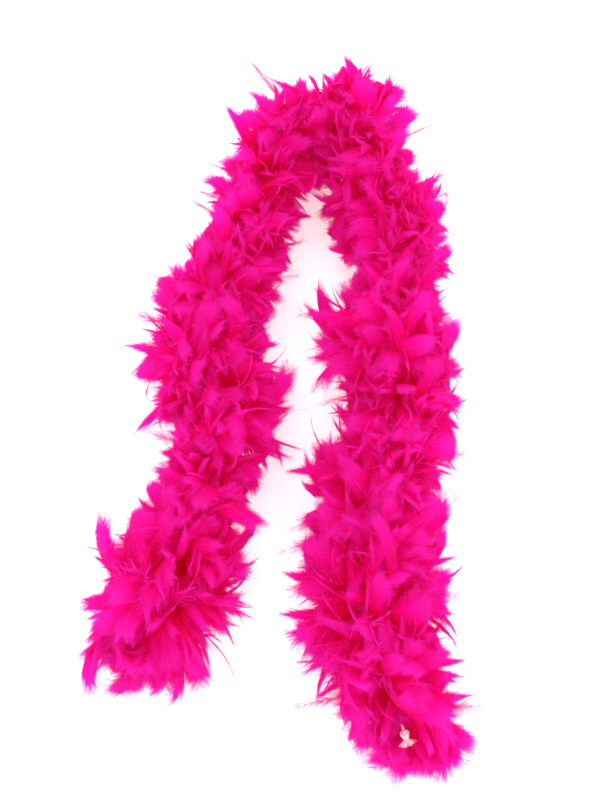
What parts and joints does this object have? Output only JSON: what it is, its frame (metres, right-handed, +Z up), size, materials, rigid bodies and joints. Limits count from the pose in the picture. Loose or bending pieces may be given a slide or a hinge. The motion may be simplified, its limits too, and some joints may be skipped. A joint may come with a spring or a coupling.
{
  "type": "feather boa",
  "caption": "Limp feather boa: dyed feathers bound in whorls along a knotted twisted cord, laid on a table in a hairpin. Worn round the neck as a costume scarf.",
  "frame": {"origin": "on the table under the cord at the middle of the neck bend, on the underside of the feather pressed there", "axes": "+Z up from the table, +Y from the two ends towards the neck bend, +X to the right seen from above"},
  "size_m": [0.494, 1.0571, 0.1527],
  "materials": {
    "feather": "matte",
    "quill": "satin",
    "thread": "matte",
    "cord": "matte"
  },
  "bodies": {
    "left_6": {"left_6_core_cord": "cord", "left_6_binding_thread": "thread", "left_6_quills": "quill", "left_6_feathers": "feather", "left_end_whipping": "thread", "left_end_tuft": "feather", "left_end_knot": "cord"},
    "left_5": {"left_5_core_cord": "cord", "left_5_binding_thread": "thread", "left_5_quills": "quill", "left_5_feathers": "feather"},
    "left_4": {"left_4_core_cord": "cord", "left_4_binding_thread": "thread", "left_4_quills": "quill", "left_4_feathers": "feather"},
    "left_3": {"left_3_core_cord": "cord", "left_3_binding_thread": "thread", "left_3_quills": "quill", "left_3_feathers": "feather"},
    "left_2": {"left_2_core_cord": "cord", "left_2_binding_thread": "thread", "left_2_quills": "quill", "left_2_feathers": "feather"},
    "left_1": {"left_1_core_cord": "cord", "left_1_binding_thread": "thread", "left_1_quills": "quill", "left_1_feathers": "feather"},
    "neck": {"neck_core_cord": "cord", "neck_binding_thread": "thread", "neck_quills": "quill", "neck_feathers": "feather"},
    "right_1": {"right_1_core_cord": "cord", "right_1_binding_thread": "thread", "right_1_quills": "quill", "right_1_feathers": "feather"},
    "right_2": {"right_2_core_cord": "cord", "right_2_binding_thread": "thread", "right_2_quills": "quill", "right_2_feathers": "feather"},
    "right_3": {"right_3_core_cord": "cord", "right_3_binding_thread": "thread", "right_3_quills": "quill", "right_3_feathers": "feather"},
    "right_4": {"right_4_core_cord": "cord", "right_4_binding_thread": "thread", "right_4_quills": "quill", "right_4_feathers": "feather"},
    "right_5": {"right_5_core_cord": "cord", "right_5_binding_thread": "thread", "right_5_quills": "quill", "right_5_feathers": "feather"},
    "right_6": {"right_6_core_cord": "cord", "right_6_binding_thread": "thread", "right_6_quills": "quill", "right_6_feathers": "feather", "right_end_whipping": "thread", "right_end_tuft": "feather", "right_end_knot": "cord"}
  },
  "joints": [
    {"name": "left_1_swing", "type": "hinge", "parent": "neck", "child": "left_1", "pos_m": [-0.06782, 0.00773, 0.062], "axis": [0, 0, -1], "range_deg": [-5, 30]},
    {"name": "left_2_lift", "type": "hinge", "parent": "left_1", "child": "left_2", "pos_m": [-0.15054, -0.09627, 0.062], "axis": [-0.9962, 0.0872, 0], "range_deg": [0, 35]},
    {"name": "left_3_swing", "type": "hinge", "parent": "left_2", "child": "left_3", "pos_m": [-0.17616, -0.23447, 0.062], "axis": [0, 0, 1], "range_deg": [-30, 8]},
    {"name": "left_4_lift", "type": "hinge", "parent": "left_3", "child": "left_4", "pos_m": [-0.20056, -0.37285, 0.062], "axis": [-0.9976, 0.0698, 0], "range_deg": [0, 35]},
    {"name": "left_5_swing", "type": "hinge", "parent": "left_4", "child": "left_5", "pos_m": [-0.19933, -0.51347, 0.062], "axis": [0, 0, -1], "range_deg": [-20, 30]},
    {"name": "left_6_lift", "type": "hinge", "parent": "left_5", "child": "left_6", "pos_m": [-0.21636, -0.65217, 0.062], "axis": [-0.9455, 0.3256, 0], "range_deg": [0, 35]},
    {"name": "right_1_swing", "type": "hinge", "parent": "neck", "child": "right_1", "pos_m": [0.03866, -0.05625, 0.062], "axis": [0, 0, 1], "range_deg": [-5, 30]},
    {"name": "right_2_lift", "type": "hinge", "parent": "right_1", "child": "right_2", "pos_m": [0.05581, -0.19591, 0.062], "axis": [-0.9976, -0.0698, 0], "range_deg": [0, 35]},
    {"name": "right_3_swing", "type": "hinge", "parent": "right_2", "child": "right_3", "pos_m": [0.05827, -0.33659, 0.062], "axis": [0, 0, -1], "range_deg": [-30, 8]},
    {"name": "right_4_lift", "type": "hinge", "parent": "right_3", "child": "right_4", "pos_m": [0.05335, -0.47728, 0.062], "axis": [-0.9994, 0.0349, 0], "range_deg": [0, 35]},
    {"name": "right_5_swing", "type": "hinge", "parent": "right_4", "child": "right_5", "pos_m": [0.03743, -0.617, 0.062], "axis": [0, 0, 1], "range_deg": [-20, 30]},
    {"name": "right_6_lift", "type": "hinge", "parent": "right_5", "child": "right_6", "pos_m": [0.02641, -0.75703, 0.062], "axis": [-0.9994, -0.0349, 0], "range_deg": [0, 35]}
  ]
}
